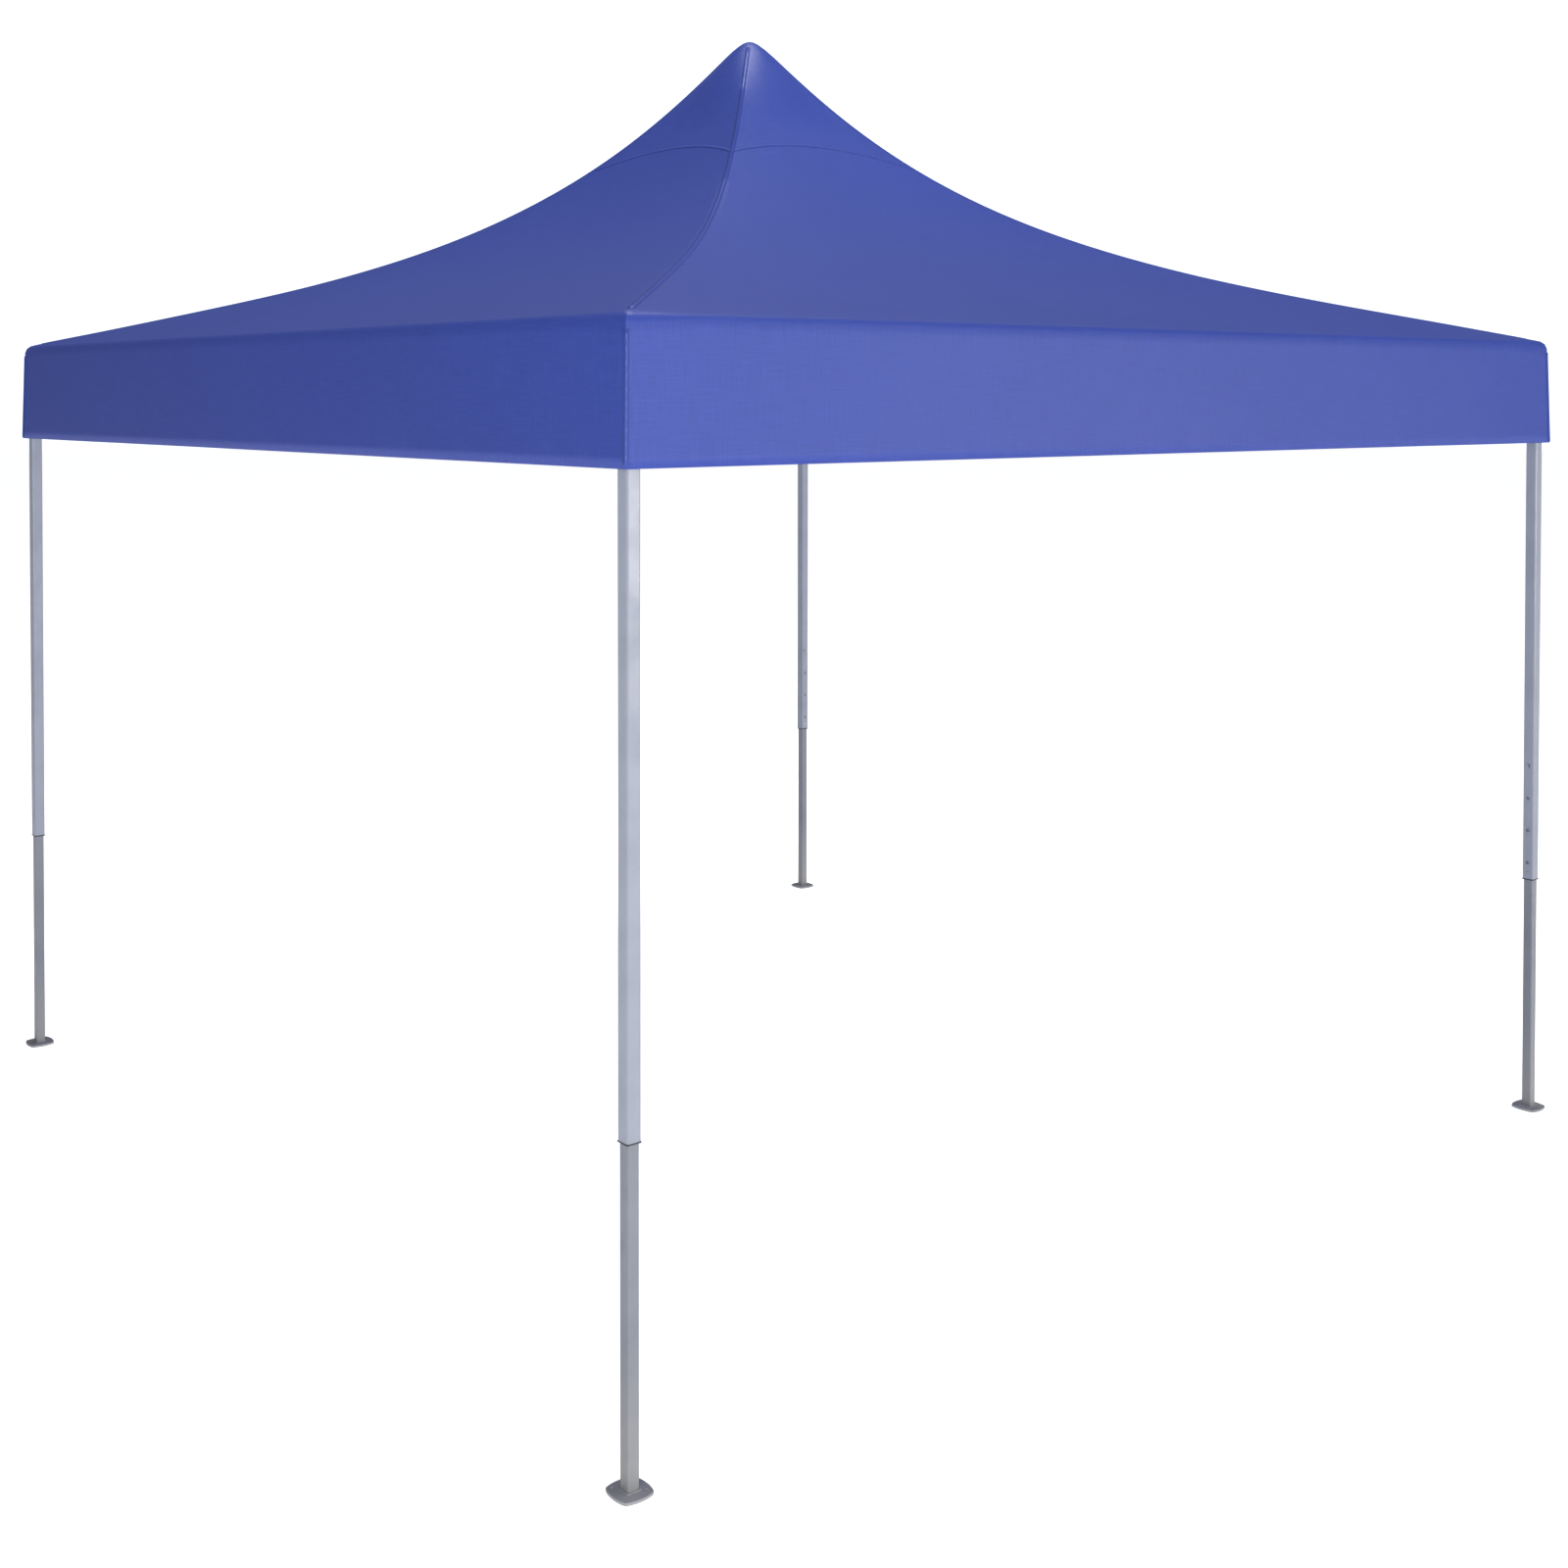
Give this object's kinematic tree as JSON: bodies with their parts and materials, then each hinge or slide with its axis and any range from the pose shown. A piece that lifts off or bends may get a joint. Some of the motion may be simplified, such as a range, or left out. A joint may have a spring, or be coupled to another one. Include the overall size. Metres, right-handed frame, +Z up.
{
  "type": "pop up canopy",
  "caption": "Square pop up canopy: telescopic legs, a scissor frame that folds to the middle, a peak post and a blue fabric roof with a valance all round.",
  "frame": {"origin": "on the floor, in the middle of the four legs", "axes": "+Z up; +X and +Y along the two pairs of sides, front is -Y"},
  "size_m": [3.031, 3.031, 2.887],
  "materials": {
    "fabric": "woven polyester, royal blue, matt with a slight sheen",
    "steel": "light bluish-grey powder coat, satin",
    "plastic": "moulded nylon, dark grey, fine grain",
    "knob": "moulded nylon, red",
    "zinc": "zinc-plated steel"
  },
  "bodies": {
    "roof": {"upper_centre_hub": "plastic", "canopy": "fabric"},
    "inner_bar_front_high": {"inner_bar_front_high": "steel"},
    "inner_bar_front_low": {"inner_bar_front_low": "steel"},
    "upper_mid_hub_front": {"upper_mid_hub_front": "plastic"},
    "lower_mid_hub_front": {"lower_mid_hub_front": "plastic"},
    "side_bar_front_right_outer": {"side_bar_front_right_outer": "steel"},
    "side_bar_front_right_inner": {"side_bar_front_right_inner": "steel"},
    "side_bar_front_left_outer": {"side_bar_front_left_outer": "steel"},
    "side_bar_front_left_inner": {"side_bar_front_left_inner": "steel"},
    "leg_front_right": {"outer_leg_front_right": "steel", "top_bracket_front_right": "plastic"},
    "slider_front_right": {"slider_front_right": "plastic"},
    "inner_leg_front_right": {"inner_leg_front_right": "steel"},
    "leg_button_front_right": {"leg_button_front_right": "zinc"},
    "slider_latch_front_right": {"slider_latch_front_right": "knob"},
    "inner_bar_right_high": {"inner_bar_right_high": "steel"},
    "inner_bar_right_low": {"inner_bar_right_low": "steel"},
    "upper_mid_hub_right": {"upper_mid_hub_right": "plastic"},
    "lower_mid_hub_right": {"lower_mid_hub_right": "plastic"},
    "side_bar_right_right_outer": {"side_bar_right_right_outer": "steel"},
    "side_bar_right_right_inner": {"side_bar_right_right_inner": "steel"},
    "side_bar_right_left_outer": {"side_bar_right_left_outer": "steel"},
    "side_bar_right_left_inner": {"side_bar_right_left_inner": "steel"},
    "leg_back_right": {"outer_leg_back_right": "steel", "top_bracket_back_right": "plastic"},
    "slider_back_right": {"slider_back_right": "plastic"},
    "inner_leg_back_right": {"inner_leg_back_right": "steel"},
    "leg_button_back_right": {"leg_button_back_right": "zinc"},
    "slider_latch_back_right": {"slider_latch_back_right": "knob"},
    "inner_bar_back_high": {"inner_bar_back_high": "steel"},
    "inner_bar_back_low": {"inner_bar_back_low": "steel"},
    "upper_mid_hub_back": {"upper_mid_hub_back": "plastic"},
    "lower_mid_hub_back": {"lower_mid_hub_back": "plastic"},
    "side_bar_back_right_outer": {"side_bar_back_right_outer": "steel"},
    "side_bar_back_right_inner": {"side_bar_back_right_inner": "steel"},
    "side_bar_back_left_outer": {"side_bar_back_left_outer": "steel"},
    "side_bar_back_left_inner": {"side_bar_back_left_inner": "steel"},
    "leg_back_left": {"outer_leg_back_left": "steel", "top_bracket_back_left": "plastic"},
    "slider_back_left": {"slider_back_left": "plastic"},
    "inner_leg_back_left": {"inner_leg_back_left": "steel"},
    "leg_button_back_left": {"leg_button_back_left": "zinc"},
    "slider_latch_back_left": {"slider_latch_back_left": "knob"},
    "inner_bar_left_high": {"inner_bar_left_high": "steel"},
    "inner_bar_left_low": {"inner_bar_left_low": "steel"},
    "upper_mid_hub_left": {"upper_mid_hub_left": "plastic"},
    "lower_mid_hub_left": {"lower_mid_hub_left": "plastic"},
    "side_bar_left_right_outer": {"side_bar_left_right_outer": "steel"},
    "side_bar_left_right_inner": {"side_bar_left_right_inner": "steel"},
    "side_bar_left_left_outer": {"side_bar_left_left_outer": "steel"},
    "side_bar_left_left_inner": {"side_bar_left_left_inner": "steel"},
    "leg_front_left": {"outer_leg_front_left": "steel", "top_bracket_front_left": "plastic"},
    "slider_front_left": {"slider_front_left": "plastic"},
    "inner_leg_front_left": {"inner_leg_front_left": "steel"},
    "leg_button_front_left": {"leg_button_front_left": "zinc"},
    "slider_latch_front_left": {"slider_latch_front_left": "knob"},
    "centre": {"lower_centre_hub": "plastic", "peak_post": "steel"}
  },
  "joints": [
    {"name": "canopy_fold", "type": "hinge", "parent": "roof", "child": "inner_bar_front_high", "pos_m": [0, -0.07, 2.015], "axis": [1, 0, 0], "range_deg": [0, 77.6]},
    {"name": "lower_mid_hub_front_turn", "type": "hinge", "parent": "inner_bar_front_high", "child": "lower_mid_hub_front", "pos_m": [0, -1.4325, 1.815], "axis": [-1, 0, 0], "range_deg": [0, 77.6]},
    {"name": "inner_bar_front_low_turn", "type": "hinge", "parent": "inner_bar_front_high", "child": "inner_bar_front_low", "pos_m": [0, -0.75125, 1.915], "axis": [-1, 0, 0], "range_deg": [0, 155.2]},
    {"name": "upper_mid_hub_front_turn", "type": "hinge", "parent": "inner_bar_front_low", "child": "upper_mid_hub_front", "pos_m": [0, -1.4325, 2.015], "axis": [1, 0, 0], "range_deg": [0, 77.6]},
    {"name": "side_bar_front_right_outer_turn", "type": "hinge", "parent": "upper_mid_hub_front", "child": "side_bar_front_right_outer", "pos_m": [0.05, -1.4825, 2.015], "axis": [0, 1, 0], "range_deg": [0, 77.6]},
    {"name": "side_bar_front_right_inner_turn", "type": "hinge", "parent": "lower_mid_hub_front", "child": "side_bar_front_right_inner", "pos_m": [0.05, -1.4825, 1.815], "axis": [0, -1, 0], "range_deg": [0, 77.6]},
    {"name": "side_bar_front_left_outer_turn", "type": "hinge", "parent": "upper_mid_hub_front", "child": "side_bar_front_left_outer", "pos_m": [-0.05, -1.4825, 2.015], "axis": [0, -1, 0], "range_deg": [0, 77.6]},
    {"name": "side_bar_front_left_inner_turn", "type": "hinge", "parent": "lower_mid_hub_front", "child": "side_bar_front_left_inner", "pos_m": [-0.05, -1.4825, 1.815], "axis": [0, 1, 0], "range_deg": [0, 77.6]},
    {"name": "leg_front_right_turn", "type": "hinge", "parent": "side_bar_front_right_inner", "child": "leg_front_right", "pos_m": [1.4125, -1.4825, 2.015], "axis": [0, 1, 0], "range_deg": [0, 77.6]},
    {"name": "slider_front_right_turn", "type": "hinge", "parent": "side_bar_front_right_outer", "child": "slider_front_right", "pos_m": [1.4125, -1.4825, 1.815], "axis": [0, -1, 0], "range_deg": [0, 77.6]},
    {"name": "leg_slide_front_right", "type": "slide", "parent": "leg_front_right", "child": "inner_leg_front_right", "axis": [0, 0, 1], "range_m": [-0.258, 0.57], "deforming": ["leg_button_front_right"]},
    {"name": "leg_button_press_front_right", "type": "slide", "parent": "inner_leg_front_right", "child": "leg_button_front_right", "axis": [1, 0, 0], "range_m": [0, 0.005], "stiffness_N_per_m": 600},
    {"name": "slider_latch_pull_front_right", "type": "slide", "parent": "slider_front_right", "child": "slider_latch_front_right", "axis": [-1, 0, 0], "range_m": [0, 0.005], "stiffness_N_per_m": 600},
    {"name": "inner_bar_right_high_turn", "type": "hinge", "parent": "roof", "child": "inner_bar_right_high", "pos_m": [0.07, 0, 2.015], "axis": [0, 1, 0], "range_deg": [0, 77.6]},
    {"name": "lower_mid_hub_right_turn", "type": "hinge", "parent": "inner_bar_right_high", "child": "lower_mid_hub_right", "pos_m": [1.4325, 0, 1.815], "axis": [0, -1, 0], "range_deg": [0, 77.6]},
    {"name": "inner_bar_right_low_turn", "type": "hinge", "parent": "inner_bar_right_high", "child": "inner_bar_right_low", "pos_m": [0.75125, 0, 1.915], "axis": [0, -1, 0], "range_deg": [0, 155.2]},
    {"name": "upper_mid_hub_right_turn", "type": "hinge", "parent": "inner_bar_right_low", "child": "upper_mid_hub_right", "pos_m": [1.4325, 0, 2.015], "axis": [0, 1, 0], "range_deg": [0, 77.6]},
    {"name": "side_bar_right_right_outer_turn", "type": "hinge", "parent": "upper_mid_hub_right", "child": "side_bar_right_right_outer", "pos_m": [1.4825, 0.05, 2.015], "axis": [-1, 0, 0], "range_deg": [0, 77.6]},
    {"name": "side_bar_right_right_inner_turn", "type": "hinge", "parent": "lower_mid_hub_right", "child": "side_bar_right_right_inner", "pos_m": [1.4825, 0.05, 1.815], "axis": [1, 0, 0], "range_deg": [0, 77.6]},
    {"name": "side_bar_right_left_outer_turn", "type": "hinge", "parent": "upper_mid_hub_right", "child": "side_bar_right_left_outer", "pos_m": [1.4825, -0.05, 2.015], "axis": [1, 0, 0], "range_deg": [0, 77.6]},
    {"name": "side_bar_right_left_inner_turn", "type": "hinge", "parent": "lower_mid_hub_right", "child": "side_bar_right_left_inner", "pos_m": [1.4825, -0.05, 1.815], "axis": [-1, 0, 0], "range_deg": [0, 77.6]},
    {"name": "leg_back_right_turn", "type": "hinge", "parent": "side_bar_right_right_inner", "child": "leg_back_right", "pos_m": [1.4825, 1.4125, 2.015], "axis": [-1, 0, 0], "range_deg": [0, 77.6]},
    {"name": "slider_back_right_turn", "type": "hinge", "parent": "side_bar_right_right_outer", "child": "slider_back_right", "pos_m": [1.4825, 1.4125, 1.815], "axis": [1, 0, 0], "range_deg": [0, 77.6]},
    {"name": "leg_slide_back_right", "type": "slide", "parent": "leg_back_right", "child": "inner_leg_back_right", "axis": [0, 0, 1], "range_m": [-0.258, 0.57], "deforming": ["leg_button_back_right"]},
    {"name": "leg_button_press_back_right", "type": "slide", "parent": "inner_leg_back_right", "child": "leg_button_back_right", "axis": [0, 1, 0], "range_m": [0, 0.005], "stiffness_N_per_m": 600},
    {"name": "slider_latch_pull_back_right", "type": "slide", "parent": "slider_back_right", "child": "slider_latch_back_right", "axis": [0, -1, 0], "range_m": [0, 0.005], "stiffness_N_per_m": 600},
    {"name": "inner_bar_back_high_turn", "type": "hinge", "parent": "roof", "child": "inner_bar_back_high", "pos_m": [0, 0.07, 2.015], "axis": [-1, 0, 0], "range_deg": [0, 77.6]},
    {"name": "lower_mid_hub_back_turn", "type": "hinge", "parent": "inner_bar_back_high", "child": "lower_mid_hub_back", "pos_m": [0, 1.4325, 1.815], "axis": [1, 0, 0], "range_deg": [0, 77.6]},
    {"name": "inner_bar_back_low_turn", "type": "hinge", "parent": "inner_bar_back_high", "child": "inner_bar_back_low", "pos_m": [0, 0.75125, 1.915], "axis": [1, 0, 0], "range_deg": [0, 155.2]},
    {"name": "upper_mid_hub_back_turn", "type": "hinge", "parent": "inner_bar_back_low", "child": "upper_mid_hub_back", "pos_m": [0, 1.4325, 2.015], "axis": [-1, 0, 0], "range_deg": [0, 77.6]},
    {"name": "side_bar_back_right_outer_turn", "type": "hinge", "parent": "upper_mid_hub_back", "child": "side_bar_back_right_outer", "pos_m": [-0.05, 1.4825, 2.015], "axis": [0, -1, 0], "range_deg": [0, 77.6]},
    {"name": "side_bar_back_right_inner_turn", "type": "hinge", "parent": "lower_mid_hub_back", "child": "side_bar_back_right_inner", "pos_m": [-0.05, 1.4825, 1.815], "axis": [0, 1, 0], "range_deg": [0, 77.6]},
    {"name": "side_bar_back_left_outer_turn", "type": "hinge", "parent": "upper_mid_hub_back", "child": "side_bar_back_left_outer", "pos_m": [0.05, 1.4825, 2.015], "axis": [0, 1, 0], "range_deg": [0, 77.6]},
    {"name": "side_bar_back_left_inner_turn", "type": "hinge", "parent": "lower_mid_hub_back", "child": "side_bar_back_left_inner", "pos_m": [0.05, 1.4825, 1.815], "axis": [0, -1, 0], "range_deg": [0, 77.6]},
    {"name": "leg_back_left_turn", "type": "hinge", "parent": "side_bar_back_right_inner", "child": "leg_back_left", "pos_m": [-1.4125, 1.4825, 2.015], "axis": [0, -1, 0], "range_deg": [0, 77.6]},
    {"name": "slider_back_left_turn", "type": "hinge", "parent": "side_bar_back_right_outer", "child": "slider_back_left", "pos_m": [-1.4125, 1.4825, 1.815], "axis": [0, 1, 0], "range_deg": [0, 77.6]},
    {"name": "leg_slide_back_left", "type": "slide", "parent": "leg_back_left", "child": "inner_leg_back_left", "axis": [0, 0, 1], "range_m": [-0.258, 0.57], "deforming": ["leg_button_back_left"]},
    {"name": "leg_button_press_back_left", "type": "slide", "parent": "inner_leg_back_left", "child": "leg_button_back_left", "axis": [-1, 0, 0], "range_m": [0, 0.005], "stiffness_N_per_m": 600},
    {"name": "slider_latch_pull_back_left", "type": "slide", "parent": "slider_back_left", "child": "slider_latch_back_left", "axis": [1, 0, 0], "range_m": [0, 0.005], "stiffness_N_per_m": 600},
    {"name": "inner_bar_left_high_turn", "type": "hinge", "parent": "roof", "child": "inner_bar_left_high", "pos_m": [-0.07, 0, 2.015], "axis": [0, -1, 0], "range_deg": [0, 77.6]},
    {"name": "lower_mid_hub_left_turn", "type": "hinge", "parent": "inner_bar_left_high", "child": "lower_mid_hub_left", "pos_m": [-1.4325, 0, 1.815], "axis": [0, 1, 0], "range_deg": [0, 77.6]},
    {"name": "inner_bar_left_low_turn", "type": "hinge", "parent": "inner_bar_left_high", "child": "inner_bar_left_low", "pos_m": [-0.75125, 0, 1.915], "axis": [0, 1, 0], "range_deg": [0, 155.2]},
    {"name": "upper_mid_hub_left_turn", "type": "hinge", "parent": "inner_bar_left_low", "child": "upper_mid_hub_left", "pos_m": [-1.4325, 0, 2.015], "axis": [0, -1, 0], "range_deg": [0, 77.6]},
    {"name": "side_bar_left_right_outer_turn", "type": "hinge", "parent": "upper_mid_hub_left", "child": "side_bar_left_right_outer", "pos_m": [-1.4825, -0.05, 2.015], "axis": [1, 0, 0], "range_deg": [0, 77.6]},
    {"name": "side_bar_left_right_inner_turn", "type": "hinge", "parent": "lower_mid_hub_left", "child": "side_bar_left_right_inner", "pos_m": [-1.4825, -0.05, 1.815], "axis": [-1, 0, 0], "range_deg": [0, 77.6]},
    {"name": "side_bar_left_left_outer_turn", "type": "hinge", "parent": "upper_mid_hub_left", "child": "side_bar_left_left_outer", "pos_m": [-1.4825, 0.05, 2.015], "axis": [-1, 0, 0], "range_deg": [0, 77.6]},
    {"name": "side_bar_left_left_inner_turn", "type": "hinge", "parent": "lower_mid_hub_left", "child": "side_bar_left_left_inner", "pos_m": [-1.4825, 0.05, 1.815], "axis": [1, 0, 0], "range_deg": [0, 77.6]},
    {"name": "leg_front_left_turn", "type": "hinge", "parent": "side_bar_left_right_inner", "child": "leg_front_left", "pos_m": [-1.4825, -1.4125, 2.015], "axis": [1, 0, 0], "range_deg": [0, 77.6]},
    {"name": "slider_front_left_turn", "type": "hinge", "parent": "side_bar_left_right_outer", "child": "slider_front_left", "pos_m": [-1.4825, -1.4125, 1.815], "axis": [-1, 0, 0], "range_deg": [0, 77.6]},
    {"name": "leg_slide_front_left", "type": "slide", "parent": "leg_front_left", "child": "inner_leg_front_left", "axis": [0, 0, 1], "range_m": [-0.258, 0.57], "deforming": ["leg_button_front_left"]},
    {"name": "leg_button_press_front_left", "type": "slide", "parent": "inner_leg_front_left", "child": "leg_button_front_left", "axis": [0, -1, 0], "range_m": [0, 0.005], "stiffness_N_per_m": 600},
    {"name": "slider_latch_pull_front_left", "type": "slide", "parent": "slider_front_left", "child": "slider_latch_front_left", "axis": [0, 1, 0], "range_m": [0, 0.005], "stiffness_N_per_m": 600},
    {"name": "lower_centre_hub_turn", "type": "hinge", "parent": "inner_bar_front_low", "child": "centre", "pos_m": [0, -0.07, 1.815], "axis": [1, 0, 0], "range_deg": [0, 77.6]}
  ],
  "couplings": [
    {"joint": "lower_mid_hub_front_turn", "follows": "canopy_fold", "ratio": 1},
    {"joint": "inner_bar_front_low_turn", "follows": "canopy_fold", "ratio": 2},
    {"joint": "upper_mid_hub_front_turn", "follows": "canopy_fold", "ratio": 1},
    {"joint": "side_bar_front_right_outer_turn", "follows": "canopy_fold", "ratio": 1},
    {"joint": "side_bar_front_right_inner_turn", "follows": "canopy_fold", "ratio": 1},
    {"joint": "side_bar_front_left_outer_turn", "follows": "canopy_fold", "ratio": 1},
    {"joint": "side_bar_front_left_inner_turn", "follows": "canopy_fold", "ratio": 1},
    {"joint": "leg_front_right_turn", "follows": "canopy_fold", "ratio": 1},
    {"joint": "slider_front_right_turn", "follows": "canopy_fold", "ratio": 1},
    {"joint": "inner_bar_right_high_turn", "follows": "canopy_fold", "ratio": 1},
    {"joint": "lower_mid_hub_right_turn", "follows": "canopy_fold", "ratio": 1},
    {"joint": "inner_bar_right_low_turn", "follows": "canopy_fold", "ratio": 2},
    {"joint": "upper_mid_hub_right_turn", "follows": "canopy_fold", "ratio": 1},
    {"joint": "side_bar_right_right_outer_turn", "follows": "canopy_fold", "ratio": 1},
    {"joint": "side_bar_right_right_inner_turn", "follows": "canopy_fold", "ratio": 1},
    {"joint": "side_bar_right_left_outer_turn", "follows": "canopy_fold", "ratio": 1},
    {"joint": "side_bar_right_left_inner_turn", "follows": "canopy_fold", "ratio": 1},
    {"joint": "leg_back_right_turn", "follows": "canopy_fold", "ratio": 1},
    {"joint": "slider_back_right_turn", "follows": "canopy_fold", "ratio": 1},
    {"joint": "inner_bar_back_high_turn", "follows": "canopy_fold", "ratio": 1},
    {"joint": "lower_mid_hub_back_turn", "follows": "canopy_fold", "ratio": 1},
    {"joint": "inner_bar_back_low_turn", "follows": "canopy_fold", "ratio": 2},
    {"joint": "upper_mid_hub_back_turn", "follows": "canopy_fold", "ratio": 1},
    {"joint": "side_bar_back_right_outer_turn", "follows": "canopy_fold", "ratio": 1},
    {"joint": "side_bar_back_right_inner_turn", "follows": "canopy_fold", "ratio": 1},
    {"joint": "side_bar_back_left_outer_turn", "follows": "canopy_fold", "ratio": 1},
    {"joint": "side_bar_back_left_inner_turn", "follows": "canopy_fold", "ratio": 1},
    {"joint": "leg_back_left_turn", "follows": "canopy_fold", "ratio": 1},
    {"joint": "slider_back_left_turn", "follows": "canopy_fold", "ratio": 1},
    {"joint": "inner_bar_left_high_turn", "follows": "canopy_fold", "ratio": 1},
    {"joint": "lower_mid_hub_left_turn", "follows": "canopy_fold", "ratio": 1},
    {"joint": "inner_bar_left_low_turn", "follows": "canopy_fold", "ratio": 2},
    {"joint": "upper_mid_hub_left_turn", "follows": "canopy_fold", "ratio": 1},
    {"joint": "side_bar_left_right_outer_turn", "follows": "canopy_fold", "ratio": 1},
    {"joint": "side_bar_left_right_inner_turn", "follows": "canopy_fold", "ratio": 1},
    {"joint": "side_bar_left_left_outer_turn", "follows": "canopy_fold", "ratio": 1},
    {"joint": "side_bar_left_left_inner_turn", "follows": "canopy_fold", "ratio": 1},
    {"joint": "leg_front_left_turn", "follows": "canopy_fold", "ratio": 1},
    {"joint": "slider_front_left_turn", "follows": "canopy_fold", "ratio": 1},
    {"joint": "lower_centre_hub_turn", "follows": "canopy_fold", "ratio": 1}
  ]
}
